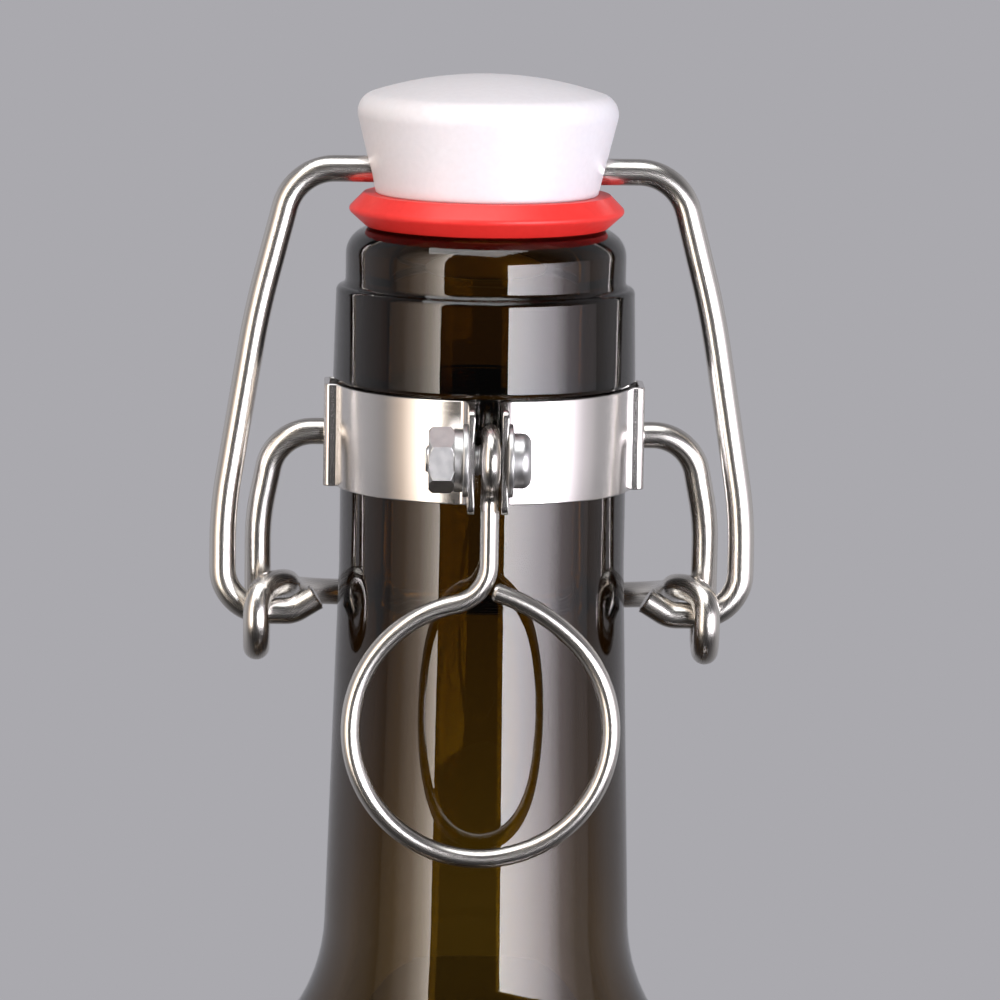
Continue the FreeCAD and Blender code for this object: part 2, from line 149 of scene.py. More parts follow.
# %% [markdown]
# ## Dark amber glass
# Container glass, blown in a mould and fire polished: clear and smooth, with a slow waviness from the mould.
# Its colour is in the depth of the glass, so the surface is white and an absorbing volume does the tinting.
# A 9.4 mm path through both walls of the neck leaves about a twentieth of the red, less green and almost no blue,
# which gives the eye a near black bottle with an olive brown glow where the light comes through.

# %% Glass
glass, tree, output = blank_material("amber_container_glass_fire_polished")
place = add_node(tree, "ShaderNodeTexCoord")
wave_mm = 14.0
waviness = add_node(tree, "ShaderNodeTexNoise",
                    {"Vector": place.outputs["Object"], "Scale": 1 / (wave_mm * MM), "Detail": 1.0})
ripple = add_node(tree, "ShaderNodeBump",
                  {"Height": waviness.outputs["Fac"], "Strength": 0.25, "Distance": 0.15 * MM})
body = add_node(tree, "ShaderNodeBsdfPrincipled",
                {"Base Color": linear("#ffffff"), "Roughness": 0.0, "IOR": 1.52,
                 "Transmission Weight": 1.0, "Normal": ripple.outputs["Normal"]})
tint = add_node(tree, "ShaderNodeVolumeAbsorption",
                {"Color": linear("#d0c043"), "Density": 900.0})
tree.links.new(body.outputs["BSDF"], output.inputs["Surface"])
tree.links.new(tint.outputs["Volume"], output.inputs["Volume"])

# %% [markdown]
# ## Steels
# The wires are stainless, drawn through a die and tumbled: fine lines run along them and soften their reflections.
# The collar is a strip of rolled bright stainless: its lines run along the strip, and it is close to a mirror.
# The screw, nut and washers are zinc plated: greyer, softer and slightly mottled.

# %% Steel wire, rolled strip and zinc plate


def lined_steel(name, colour, smooth, rough, line_mm, run_mm, depth_mm):
    """Steel with lines along the U of its UV map: noise stretched run_mm along and line_mm across."""
    material, tree, output = blank_material(name)
    lay = add_node(tree, "ShaderNodeUVMap", uv_map="lay")
    stretch = add_node(tree, "ShaderNodeMapping",
                       {"Vector": lay.outputs["UV"], "Scale": (1 / run_mm, 1 / line_mm, 1.0)})
    lines = add_node(tree, "ShaderNodeTexNoise",
                     {"Vector": stretch.outputs["Vector"], "Scale": 1.0, "Detail": 3.0, "Roughness": 0.6})
    gloss = add_node(tree, "ShaderNodeMapRange",
                     {"Value": lines.outputs["Fac"], "From Min": 0.3, "From Max": 0.7,
                      "To Min": smooth, "To Max": rough})
    relief = add_node(tree, "ShaderNodeBump",
                      {"Height": lines.outputs["Fac"], "Strength": 0.3, "Distance": depth_mm * MM})
    metal = add_node(tree, "ShaderNodeBsdfPrincipled",
                     {"Base Color": linear(colour), "Metallic": 1.0,
                      "Roughness": gloss.outputs["Result"], "Normal": relief.outputs["Normal"]})
    tree.links.new(metal.outputs["BSDF"], output.inputs["Surface"])
    return material


wire_steel = lined_steel("stainless_wire_drawn_and_tumbled", "#d6d3cf", 0.22, 0.30, 0.12, 12.0, 0.003)
strip_steel = lined_steel("stainless_strip_rolled_bright", "#d8d5d3", 0.20, 0.26, 0.14, 20.0, 0.0015)

zinc, tree, output = blank_material("zinc_plated_steel_barrelled")
place = add_node(tree, "ShaderNodeTexCoord")
spangle_mm = 0.8
mottle = add_node(tree, "ShaderNodeTexNoise",
                  {"Vector": place.outputs["Object"], "Scale": 1 / (spangle_mm * MM), "Detail": 2.0})
shade = add_node(tree, "ShaderNodeValToRGB", {"Fac": mottle.outputs["Fac"]})
set_stops(shade, [(0.35, "#cacbcc"), (0.65, "#d4d4d4")])
dull = add_node(tree, "ShaderNodeMapRange",
                {"Value": mottle.outputs["Fac"], "From Min": 0.3, "From Max": 0.7, "To Min": 0.34, "To Max": 0.40})
plate = add_node(tree, "ShaderNodeBsdfPrincipled",
                 {"Base Color": shade.outputs["Color"], "Metallic": 1.0, "Roughness": dull.outputs["Result"]})
tree.links.new(plate.outputs["BSDF"], output.inputs["Surface"])

# %% [markdown]
# ## Plastic and rubber
# The cap is moulded polypropylene: a satin white that lets a little light under its skin.
# The gasket is moulded silicone rubber: a warm red, softer and a little uneven.

# %% Moulded polypropylene and silicone rubber


def moulded(name, deep, pale, rough, grain_mm, depth_mm, under_skin, reach_mm):
    """A moulded surface: noise of grain_mm varies its colour and dents it by depth_mm."""
    material, tree, output = blank_material(name)
    place = add_node(tree, "ShaderNodeTexCoord")
    grain = add_node(tree, "ShaderNodeTexNoise",
                     {"Vector": place.outputs["Object"], "Scale": 1 / (grain_mm * MM), "Detail": 3.0})
    shade = add_node(tree, "ShaderNodeValToRGB", {"Fac": grain.outputs["Fac"]})
    set_stops(shade, [(0.3, deep), (0.7, pale)])
    relief = add_node(tree, "ShaderNodeBump",
                      {"Height": grain.outputs["Fac"], "Strength": 0.25, "Distance": depth_mm * MM})
    skin = add_node(tree, "ShaderNodeBsdfPrincipled",
                    {"Base Color": shade.outputs["Color"], "Roughness": rough, "IOR": 1.49,
                     "Subsurface Weight": under_skin, "Subsurface Radius": (1.0, 0.6, 0.5),
                     "Subsurface Scale": reach_mm * MM, "Normal": relief.outputs["Normal"]})
    tree.links.new(skin.outputs["BSDF"], output.inputs["Surface"])
    return material


white_plastic = moulded("polypropylene_moulded_satin", "#d8d6db", "#dcdadf", 0.36, 0.6, 0.01, 0.12, 0.8)
red_rubber = moulded("silicone_rubber_moulded", "#da2a25", "#e0302b", 0.42, 0.7, 0.015, 0.10, 0.6)

# %% [markdown]
# ## The glass bottle
# Lip, finish band, long neck, shoulder, body and punt are one outline turned about the axis.
# A screw modifier could turn it, but the grid makes the same surface at once:
# rows follow the outline from the lip down the outside and up the inside, columns go round.

# %% Outlines with arcs, turned on a lathe


def arc(start, end, centre, steps=14):
    """Points after start up to end on the shorter arc about centre: the angle runs evenly between them."""
    start, end, centre = (np.array(p, dtype=float) for p in (start, end, centre))
    first = math.atan2(*(start - centre)[::-1])
    swing = (math.atan2(*(end - centre)[::-1]) - first + math.pi) % (2 * math.pi) - math.pi
    turn = first + swing * np.arange(1, steps + 1) / steps
    return centre + np.hypot(*(start - centre)) * np.stack([np.cos(turn), np.sin(turn)], axis=-1)


def trace(start, moves, steps=14):
    """A closed outline: each move is (point, None) for a straight run or (point, centre) for an arc."""
    runs = [np.array([start], dtype=float)]
    for goal, centre in moves + [(start, None)]:
        here = runs[-1][-1]
        if centre is not None:
            runs.append(arc(here, goal, centre, steps))
        elif np.hypot(*(np.array(goal) - here)) > 1e-9:
            runs.append(np.array([goal], dtype=float))
    return np.concatenate(runs)


def turned(line, columns):
    """Each (radius, height) point of a line goes round Z: x = r cos a, y = r sin a."""
    turn = np.linspace(0, 2 * math.pi, columns + 1)
    radius, height = line[:, 0, None], line[:, 1, None]
    return np.stack([radius * np.cos(turn), radius * np.sin(turn), height + 0 * turn], axis=-1)


# %% [markdown]
# The sizes below are the model's own, in millimetres. The neck widens slowly, then flares into the shoulder:
# two circles that touch each other, so the wall passes from hollow to round without a corner.

# %% Bottle outline in millimetres
lip = 300.0
body_radius, body_wall, base_wall, heel_round = 37.71, 3.2, 4.0, 6.0
neck_radius, neck_foot_radius, bore_radius = 13.95, 14.97, 9.25
neck_straight_depth, flare_depth, flare_radius, shoulder_radius = 33.0, 68.5, 18.0, 30.0
lip_radius, lip_outer_round, lip_inner_round = 13.65, 2.6, 0.95
band_radius, band_draft, band_step_height, band_edge_round = 14.75, 0.2, 1.3, 0.6
band_top_depth, band_bottom_depth = 5.6, 15.0
bearing_ring_width, punt_height = 5.75, 10.0

neck_end = lip - flare_depth
lean = math.atan2(neck_foot_radius - neck_radius, flare_depth - neck_straight_depth)
flare = np.array([neck_foot_radius + flare_radius * math.cos(lean), neck_end + flare_radius * math.sin(lean)])
shoulder_r = body_radius - shoulder_radius
spread = flare_radius + shoulder_radius
shoulder = np.array([shoulder_r, flare[1] - math.sqrt(spread ** 2 - (flare[0] - shoulder_r) ** 2)])


def from_flare(distance):
    """The point at a distance from the flare's centre on the line to the shoulder's centre."""
    return tuple(flare + (shoulder - flare) * distance / spread)


step = band_radius - band_draft - lip_radius
step_round = (band_step_height ** 2 + step ** 2) / (4 * step)
step_top = lip - band_top_depth + band_step_height / 2
step_foot = step_top - band_step_height
step_out = lip_radius + step
ledge = lip - band_bottom_depth
bearing_outer = body_radius - heel_round
bearing_inner = bearing_outer - bearing_ring_width
punt_radius = (bearing_inner ** 2 + punt_height ** 2) / (2 * punt_height)
punt_centre = (0, punt_height - punt_radius)
inside_radius = body_radius - body_wall
inside_heel = heel_round - body_wall
floor_r = math.sqrt((punt_radius + base_wall) ** 2 - (base_wall - punt_centre[1]) ** 2)
inside_flare = flare_radius + body_wall
inside_neck = (flare[0] - inside_flare * math.cos(lean), flare[1] - inside_flare * math.sin(lean))
bottle_line = trace((0, punt_height), [
    ((bearing_inner, 0), punt_centre),
    ((bearing_outer, 0), None),
    ((body_radius, heel_round), (bearing_outer, heel_round)),
    ((body_radius, shoulder[1]), None),
    (from_flare(flare_radius), shoulder),
    ((neck_foot_radius, neck_end), flare),
    ((neck_radius, lip - neck_straight_depth), None),
    ((neck_radius, ledge), None),
    ((band_radius - band_edge_round, ledge), None),
    ((band_radius, ledge + band_edge_round), (band_radius - band_edge_round, ledge + band_edge_round)),
    ((step_out, step_foot), None),
    ((lip_radius + step / 2, lip - band_top_depth), (step_out - step_round, step_foot)),
    ((lip_radius, step_top), (lip_radius + step_round, step_top)),
    ((lip_radius, lip - lip_outer_round), None),
    ((lip_radius - lip_outer_round, lip), (lip_radius - lip_outer_round, lip - lip_outer_round)),
    ((bore_radius + lip_inner_round, lip), None),
    ((bore_radius, lip - lip_inner_round), (bore_radius + lip_inner_round, lip - lip_inner_round)),
    ((bore_radius, lip - neck_straight_depth), None),
    (inside_neck, None),
    (from_flare(inside_flare), flare),
    ((inside_radius, shoulder[1]), shoulder),
    ((inside_radius, base_wall + inside_heel), None),
    ((inside_radius - inside_heel, base_wall), (inside_radius - inside_heel, base_wall + inside_heel)),
    ((floor_r, base_wall), None),
    ((0, punt_height + base_wall), punt_centre),
])[:-1]
print("the shoulder ends at a height of", round(float(shoulder[1]), 1), "mm")
bottle = mesh_object("bottle_glass", turned(bottle_line, 256), crease=50.0)
settle(bottle, "bottle", "glass_bottle", glass)

# %% [markdown]
# ## Cap and gasket
# Both are turned too. The cap has a low dome, a soft rim and a tapered side, and its shank ends in a bead.
# The gasket is a ring whose rim overhangs the lip, with a tapered plug below.
# The cross wire runs through the cap, so a modifier cuts a hole along X.

# %% Turned pieces of the stopper


def touch_point(point, centre, radius, side):
    """Where a straight line from point touches a circle, on its left (1) or right (-1)."""
    across, along = centre[0] - point[0], centre[1] - point[1]
    distance = math.hypot(across, along)
    heading = math.atan2(along, across) - side * math.asin(radius / distance)
    reach = math.sqrt(distance ** 2 - radius ** 2)
    return (point[0] + reach * math.cos(heading), point[1] + reach * math.sin(heading))


def drill(piece, cutters):
    """Cuts the cutters out of a piece for good, and removes them."""
    for cutter in cutters:
        cut = piece.modifiers.new("hole", "BOOLEAN")
        cut.operation = "DIFFERENCE"
        cut.solver = "EXACT"
        cut.object = cutter
    graph = bpy.context.evaluated_depsgraph_get()
    mesh = bpy.data.meshes.new_from_object(piece.evaluated_get(graph))
    piece.modifiers.clear()
    old = piece.data
    piece.data = mesh
    bpy.data.meshes.remove(old)
    mesh.name = piece.name
    mesh.polygons.foreach_set("use_smooth", np.ones(len(mesh.polygons), dtype=bool))
    mesh.set_sharp_from_angle(angle=math.radians(CREASE))
    for cutter in cutters:
        bpy.data.meshes.remove(cutter.data)


def rod_along_x(radius, start, end, y, z):
    """A closed round rod along X as a cutter: its ends are rows of radius 0."""
    turn = np.linspace(0, 2 * math.pi, 65)
    radii = np.array([0, radius, radius, 0])[:, None]
    x = np.array([start, start, end, end])[:, None]
    grid = np.stack([x + 0 * turn, y + radii * np.cos(turn), z + radii * np.sin(turn)], axis=-1)
    return mesh_object("cutter", grid)


wire_radius, pivot_clearance = 1.3, 0.06
cross_wire_height, seat_height, plug_depth = 5.6, 3.35, 3.0
cap_radius, cap_rim_height, cap_top_height, cap_rim_round, cap_foot_radius = 12.65, 11.2, 14.9, 2.0, 10.8
shank_radius, bead_radius, bead_height, bead_round = 5.0, 6.0, 1.4, 0.9
shank_clearance, foot_round, foot_spread = 0.05, 0.25, 0.04
cross_wire_z, seat, gasket_bottom = lip + cross_wire_height, lip + seat_height, lip - plug_depth
rim = (cap_radius - cap_rim_round, lip + cap_rim_height)
cap_top = lip + cap_top_height
fall = cap_top_height - cap_rim_height
dome = (rim[0] ** 2 + fall ** 2 - cap_rim_round ** 2) / (2 * (fall - cap_rim_round))
dome_centre = (0, cap_top - dome)
share = dome / (dome - cap_rim_round)
dome_end = (rim[0] * share, dome_centre[1] + (rim[1] - dome_centre[1]) * share)
side_top = touch_point((cap_foot_radius, seat), rim, cap_rim_round, 1)
bead_top = gasket_bottom - shank_clearance
bead_bottom = bead_top - bead_height
cap_line = trace((0, cap_top), [
    (dome_end, dome_centre),
    (side_top, rim),
    ((cap_foot_radius + foot_spread, seat + foot_round), None),
    ((cap_foot_radius - foot_round, seat), (cap_foot_radius - foot_round, seat + foot_round)),
    ((shank_radius, seat), None),
    ((shank_radius, bead_top), None),
    ((bead_radius, bead_top), None),
    ((bead_radius, bead_bottom + bead_round), None),
    ((bead_radius - bead_round, bead_bottom), (bead_radius - bead_round, bead_bottom + bead_round)),
    ((0, bead_bottom), None),
])[:-1]
cap = mesh_object("stopper_cap_plastic", turned(cap_line, 192))
drill(cap, [rod_along_x(wire_radius + pivot_clearance, -2 * cap_radius, 2 * cap_radius, 0, cross_wire_z)])
settle(cap, "stopper", "stopper_cap", white_plastic)

gasket_top_radius, gasket_rim_radius, gasket_rim_round, gasket_foot_radius = 12.0, 13.35, 0.45, 11.8
gasket_rim_height, seal_gap, plug_clearance, plug_taper, plug_tip_round = 1.8, 0.2, 0.35, 1.1, 0.6
seal = lip + seal_gap
gasket_rim = (gasket_rim_radius - gasket_rim_round, lip + gasket_rim_height)
rim_top = touch_point((gasket_top_radius, seat), gasket_rim, gasket_rim_round, -1)
rim_foot = touch_point((gasket_foot_radius, seal), gasket_rim, gasket_rim_round, 1)
plug = bore_radius - plug_clearance
plug_tip = plug - plug_taper
gasket_hole = shank_radius + shank_clearance
gasket_line = trace((gasket_hole, seat), [
    ((gasket_top_radius, seat), None),
    (rim_top, None),
    (rim_foot, gasket_rim),
    ((gasket_foot_radius, seal), None),
    ((plug, seal), None),
    ((plug_tip, gasket_bottom + plug_tip_round), None),
    ((plug_tip - plug_tip_round, gasket_bottom), (plug_tip - plug_tip_round, gasket_bottom + plug_tip_round)),
    ((gasket_hole, gasket_bottom), None),
])
gasket = mesh_object("stopper_gasket_rubber", turned(gasket_line, 192))
settle(gasket, "stopper", "stopper_gasket", red_rubber)

# %% [markdown]
# ## Bent wires
# A wire bender works from stations: a place and a heading at each end of every straight run.
# Between two stations lies a line or an arc, which one cubic Bezier span follows closely
# when its handles have the length that a circular arc of that turn needs.
# The round section stands across the path in a frame made from one fixed slanted direction,
# which no run of these wires ever points along.

# %% Sweeps along stations


def span_points(stations, steps=16):
    """Points and headings along Bezier spans, with handles of chord * 2/3 * tan(turn/4) / sin(turn/2)."""
    place = np.array([s[0] for s in stations], dtype=float)
    heading = np.array([s[1] for s in stations], dtype=float)
    heading /= np.linalg.norm(heading, axis=1, keepdims=True)
    chord = np.linalg.norm(np.diff(place, axis=0), axis=1)
    turn = np.arccos(np.clip(np.sum(heading[:-1] * heading[1:], axis=1), -1, 1))
    safe = np.maximum(turn, 1e-4)
    handle = (chord * 2 / 3 * np.tan(safe / 4) / np.sin(safe / 2))[:, None]
    a, d = place[:-1], place[1:]
    b, c = a + heading[:-1] * handle, d - heading[1:] * handle
    t = (np.arange(steps) / steps)[:, None, None]
    points = (1 - t) ** 3 * a + 3 * t * (1 - t) ** 2 * b + 3 * t ** 2 * (1 - t) * c + t ** 3 * d
    slopes = (1 - t) ** 2 * (b - a) + 2 * t * (1 - t) * (c - b) + t ** 2 * (d - c)
    points = np.concatenate([points.transpose(1, 0, 2).reshape(-1, 3), place[-1:]])
    slopes = np.concatenate([slopes.transpose(1, 0, 2).reshape(-1, 3), heading[-1:]])
    return points, slopes / np.linalg.norm(slopes, axis=1, keepdims=True)


def swept_wire(name, stations, radius, end_chamfer=0.25, columns=40):
    """A round section carried along a path, with a small chamfer and a closed face at each end."""
    points, heading = span_points(stations)
    lead = points[0] + heading[0] * end_chamfer
    trail = points[-1] - heading[-1] * end_chamfer
    points = np.concatenate([points[:1], points[:1], [lead], points[1:-1], [trail], points[-1:], points[-1:]])
    heading = np.concatenate([heading[:1]] * 2 + [heading[:1], heading[1:-1], heading[-1:]] + [heading[-1:]] * 2)
    radii = np.full(len(points), radius)
    radii[[0, -1]] = 0
    radii[[1, -2]] = radius - end_chamfer
    slanted = np.ones(3) / math.sqrt(3)
    across = np.cross(heading, slanted)
    across /= np.linalg.norm(across, axis=1, keepdims=True)
    beside = np.cross(heading, across)
    turn = np.linspace(0, 2 * math.pi, columns + 1)
    ring = np.cos(turn)[:, None] * across[:, None] + np.sin(turn)[:, None] * beside[:, None]
    grid = points[:, None] + radii[:, None, None] * ring
    length = np.concatenate([[0], np.cumsum(np.linalg.norm(np.diff(points, axis=0), axis=1))])
    flat = np.stack([length[:, None] + 0 * turn, radius * turn + 0 * length[:, None]], axis=-1)
    print(name, "is", round(float(length[-1]), 1), "mm of wire")
    return mesh_object(name, grid, flat, crease=40.0)


def bend(before, corner, after, radius):
    """The two stations of a bend: set back from the corner by radius * tan(turn / 2) on each side."""
    before, corner, after = (np.array(p, dtype=float) for p in (before, corner, after))
    arriving = (corner - before) / np.linalg.norm(corner - before)
    leaving = (after - corner) / np.linalg.norm(after - corner)
    setback = radius * math.tan(math.acos(np.clip(arriving @ leaving, -1, 1)) / 2)
    return [(corner - arriving * setback, arriving), (corner + leaving * setback, leaving)]


def both_sides(half):
    """Stations of a whole wire from those of its +X half, which starts at the middle plane."""
    mirrored = [(np.array(p) * (-1, 1, 1), np.array(h) * (1, -1, -1)) for p, h in reversed(half)]
    return mirrored + half


# %% [markdown]
# The collar sits just under the finish band. From it follow the lever's pivot, the screw's axis,
# the eyes that the lever carries, and the two wires' distances from the axis.

# %% Places that the wires and the collar share
collar_thickness, collar_height, collar_clearance, collar_drop = 0.6, 10.0, 0.1, 0.1
collar_top = ledge - collar_drop
collar_middle = collar_top - collar_height / 2
collar_inner = neck_radius + collar_clearance
collar_outer = collar_inner + collar_thickness
channel_width, channel_depth = 6.0, 0.95
channel_face = collar_outer + channel_depth
ear_gap, ear_reach, ear_bend_radius, ear_corner_round = 2.6, 6.9, 0.8, 0.8
ear_outer = ear_gap / 2 + collar_thickness
ear_front = -(collar_outer + ear_reach)
screw_radius, screw_clearance, screw_reach = 1.5, 0.1, 4.8
screw_y = -(collar_outer + screw_reach)
eye_lead, eye_drop_below, eye_clearance, eye_shift, hook_bearing_gap = 1.5, 17.9, 0.55, 2.9, 0.2
eye_radius = 2 * wire_radius + eye_clearance
eye_y, eye_z = -eye_lead, collar_middle - eye_drop_below
hook_z = eye_z + eye_clearance - hook_bearing_gap
lever_shoulder_out, lever_leg_out, bail_lever_gap = 4.6, 1.7, 0.8
lever_shoulder_x = channel_face + lever_shoulder_out
lever_leg_x = lever_shoulder_x + lever_leg_out
bail_leg_x = lever_leg_x + 2 * wire_radius + bail_lever_gap
print("the lever turns at a height of", round(collar_middle, 2), "mm, the hook hangs at", round(hook_z, 2), "mm")

# %% [markdown]
# The lever starts as a bar behind the neck, runs forward at a slope, crosses over into a round eye
# and climbs its leg to the collar, where its end points inwards. The other half is its mirror image.

# %% The lever
lever_bend, lever_flare_bend, lever_flare_drop, lever_end_gap = 4.5, 24.0, 8.5, 0.5
bar_gap, bar_corner, eye_cross_in, eye_cross_back = 1.75, 8.0, 0.4, 2.2
slope, cross_turn, cross_lean = math.radians(12), math.radians(130), math.radians(25)
forward = (0, -math.cos(slope), math.sin(slope))
eye_start = math.pi / 2 - slope
run_x = lever_leg_x - eye_shift
touch = touch_point((0, collar_middle), (eye_y, eye_z), eye_radius, -1)
leg_lean = math.atan2(touch[0], collar_middle - touch[1])
eye_end = 2 * math.pi + leg_lean


def eye_station(turn, x=lever_leg_x):
    """A station on the eye: a circle in a plane across X, heading round it."""
    place = (x, eye_y + eye_radius * math.cos(turn), eye_z + eye_radius * math.sin(turn))
    return (np.array(place), np.array((0, -math.sin(turn), math.cos(turn))))


def run_point(y):
    """A point on the straight run, which touches the eye's circle and slopes down to the back."""
    return np.array((run_x, y, top[2] - (y - top[1]) * math.tan(slope)))


top, leg_foot = eye_station(eye_start, run_x)[0], eye_station(eye_end)[0]
corner = run_point(neck_radius + bar_gap + wire_radius)
run_end = run_point(eye_y + eye_cross_back)
cross, cross_way = eye_station(cross_turn, lever_leg_x - eye_cross_in)
cross_way = cross_way * math.cos(cross_lean) + np.array((math.sin(cross_lean), 0, 0))
knee = np.array((lever_leg_x, lever_flare_drop * math.tan(leg_lean), collar_middle - lever_flare_drop))
lever_top = (lever_shoulder_x, 0, collar_middle)
lever_end = (neck_radius + lever_end_gap, 0, collar_middle)
lever_half = bend((0, corner[1], corner[2]), corner, run_end, bar_corner)
lever_half += [(run_end, forward), (cross, cross_way)]
lever_half += [eye_station(turn) for turn in (math.pi, 1.5 * math.pi)]
lever_half += [(leg_foot, knee - leg_foot)]
lever_half += bend(leg_foot, knee, lever_top, lever_flare_bend)
lever_half += bend(knee, lever_top, lever_end, lever_bend)
lever_half += [(lever_end, (-1, 0, 0))]
lever = swept_wire("lever_wire", both_sides(lever_half), wire_radius)
settle(lever, "lever", "lever_bail", wire_steel)

# %% [markdown]
# The bail is the frame that holds the stopper down. Its cross wire runs through the cap, its legs spread
# and fall to the lever's eyes, and its hooks turn inwards through them with their tips bent up.

# %% The stopper bail
bail_shoulder_out, bail_upper_spread, bail_upper_drop, bail_lower_drop = 5.95, 3.55, 13.8, 33.3
bail_corner, bail_upper_bend, bail_lower_bend, hook_bend = 5.0, 80.0, 40.0, 4.2
tip_slope, tip_bend, tip_length = math.radians(32), 2.5, 2.8
bail_top = (cap_radius + bail_shoulder_out, 0, cross_wire_z)
total_drop = cross_wire_z - hook_z


def leg_point(x, drop):
    """A point on the bail's leg, which leans evenly from the cross wire to the hook."""
    return (x, eye_y * drop / total_drop, cross_wire_z - drop)


upper = leg_point(bail_top[0] + bail_upper_spread, bail_upper_drop)
lower = leg_point(bail_leg_x, bail_lower_drop)
hook = (bail_leg_x, eye_y, hook_z)
tip_root = np.array((run_x - wire_radius + tip_bend * math.tan(tip_slope / 2), eye_y, hook_z))
tip_way = np.array((-math.cos(tip_slope), 0, math.sin(tip_slope)))
tip = tip_root + tip_way * tip_length
bail_half = bend((0, 0, cross_wire_z), bail_top, upper, bail_corner)
bail_half += bend(bail_top, upper, lower, bail_upper_bend) + bend(upper, lower, hook, bail_lower_bend)
bail_half += bend(lower, hook, tip_root, hook_bend)
bail_half += bend(hook, tip_root, tip, tip_bend) + [(tip, tip_way)]
bail = swept_wire("stopper_bail_wire", both_sides(bail_half), wire_radius)
settle(bail, "bail", "stopper_bail", wire_steel)

# %% [markdown]
# The pull ring is one thinner wire: an eye round the screw, a short stem, and a ring that goes almost full circle.
# Its end flattens out a little, so that it closes on the stem's bend from the right.

# %% The pull ring
ring_wire, ring_radius, ring_offset, ring_stem, stem_bend = 1.8, 12.4, 0.55, 9.9, 4.0
ring_eye_gap, ring_end_gap = 0.4, 0.3
ring_eye = screw_radius + screw_clearance + ring_wire / 2
stem_x, eye_bend = 0.25, 2.0
eye_spread = ring_eye + eye_bend
eye_drop = math.sqrt(eye_spread ** 2 - eye_bend ** 2)
leave = math.atan2(-eye_drop, -eye_bend) + 2 * math.pi
eye_gap_turn = math.acos(1 - ((ring_wire + ring_eye_gap) / eye_spread) ** 2 / 2)
turns = np.linspace(leave - 2 * math.pi + 2 * eye_gap_turn, leave, 5)
ring_path = [((stem_x, screw_y + ring_eye * math.cos(t), collar_middle + ring_eye * math.sin(t)),
              (0, -math.sin(t), math.cos(t))) for t in turns]
stem_foot = collar_middle - ring_stem
ring_path += [((stem_x, screw_y, z), (0, 0, -1)) for z in (collar_middle - eye_drop, stem_foot)]
ring_span = ring_radius + stem_bend
aside = stem_bend - ring_offset
ring_z = stem_foot - math.sqrt(ring_span ** 2 - aside ** 2)
join = math.atan2(stem_foot - ring_z, -aside)
ring_x = stem_x - ring_offset


def ring_arc(x, z, radius, first, last, count):
    """Stations on a circle in the ring's plane, heading round it."""
    return [((x + radius * math.cos(t), screw_y, z + radius * math.sin(t)), (-math.sin(t), 0, math.cos(t)))
            for t in np.linspace(first, last, count)]


ring_end, end_radius = math.radians(45.0) + 2 * math.pi, 18.5
flat_x = ring_x - (end_radius - ring_radius) * math.cos(ring_end)
flat_z = ring_z - (end_radius - ring_radius) * math.sin(ring_end)
across, rise = stem_x - stem_bend - flat_x, stem_foot - flat_z
reach = math.hypot(across, rise)
keep = stem_bend + ring_wire / 2 + ring_end_gap
closing = (end_radius ** 2 + reach ** 2 - keep ** 2) / (2 * end_radius * reach)
last_turn = math.atan2(rise, across) - math.acos(closing) + 2 * math.pi
ring_path += ring_arc(ring_x, ring_z, ring_radius, join, ring_end, 9)
ring_path += ring_arc(flat_x, flat_z, end_radius, ring_end, last_turn, 2)[1:]
ring = swept_wire("pull_ring_wire", ring_path, ring_wire / 2)
settle(ring, "ring", "pull_ring", wire_steel)

# %% [markdown]
# ## The collar
# A strip of bright steel goes round the neck, bulges into a channel on each side for the lever's ends,
# and turns forward into two ears. A flat section with soft edges is carried along that path in plan.
# Near the ears' ends the section gets lower along a quarter circle, which rounds their corners.

# %% A strip carried along its plan
half = collar_thickness / 2
mid_radius = collar_inner + half
ear_x = ear_gap / 2 + half
bend_x = ear_outer + ear_bend_radius
bend_y = -math.sqrt((collar_outer + ear_bend_radius) ** 2 - bend_x ** 2)
meet = math.atan2(bend_y, bend_x)
wall_y = channel_width / 2 - half
wall_turn = math.asin(wall_y / mid_radius)
channel_x = channel_face - half


def around(turn):
    """A station on the strip's middle circle, heading round it."""
    place = mid_radius * np.array((math.cos(turn), math.sin(turn), 0))
    return (place, np.array((-math.sin(turn), math.cos(turn), 0)))


press_round, press_margin = 0.36, 0.04
low_foot, low_way = around(-wall_turn)
high_foot, high_way = around(wall_turn)
low_out, high_out = (channel_x, -wall_y, 0), (channel_x, wall_y, 0)
strip_half = [((ear_x, ear_front + y, 0), (0, 1, 0)) for y in (0, ear_corner_round, bend_y - ear_front)]
strip_half += [around(turn) for turn in np.linspace(meet, -wall_turn - press_margin, 5)]
press = [low_foot - low_way, low_foot, low_out, high_out, high_foot, high_foot + high_way]
for before, at, after in zip(press, press[1:], press[2:]):
    strip_half += bend(before, at, after, press_round)
strip_half += [around(turn) for turn in np.linspace(wall_turn + press_margin, math.pi / 2, 5)]
strip_other = [(np.array(p) * (-1, 1, 1), np.array(h) * (1, -1, 1)) for p, h in reversed(strip_half[:-1])]
points, heading = span_points(strip_half + strip_other, 10)
plan = np.concatenate([points[:1], points, points[-1:]])
heading = np.concatenate([heading[:1], heading, heading[-1:]])
length = np.concatenate([[0], np.cumsum(np.linalg.norm(np.diff(plan, axis=0), axis=1))])
from_end = np.minimum(length, length[-1] - length)
dip = np.clip(ear_corner_round - from_end, 0, None)
tall = collar_height / 2 - ear_corner_round + np.sqrt(ear_corner_round ** 2 - dip ** 2)
edge = 0.14
quarter = np.linspace(0, math.pi / 2, 5)
arch = np.stack([half - edge + edge * np.cos(quarter), edge * np.sin(quarter) - edge], axis=-1)
rim_line = np.concatenate([arch, arch[::-1] * (-1, 1)])
out = np.stack([heading[:, 1], -heading[:, 0], 0 * heading[:, 0]], axis=-1)
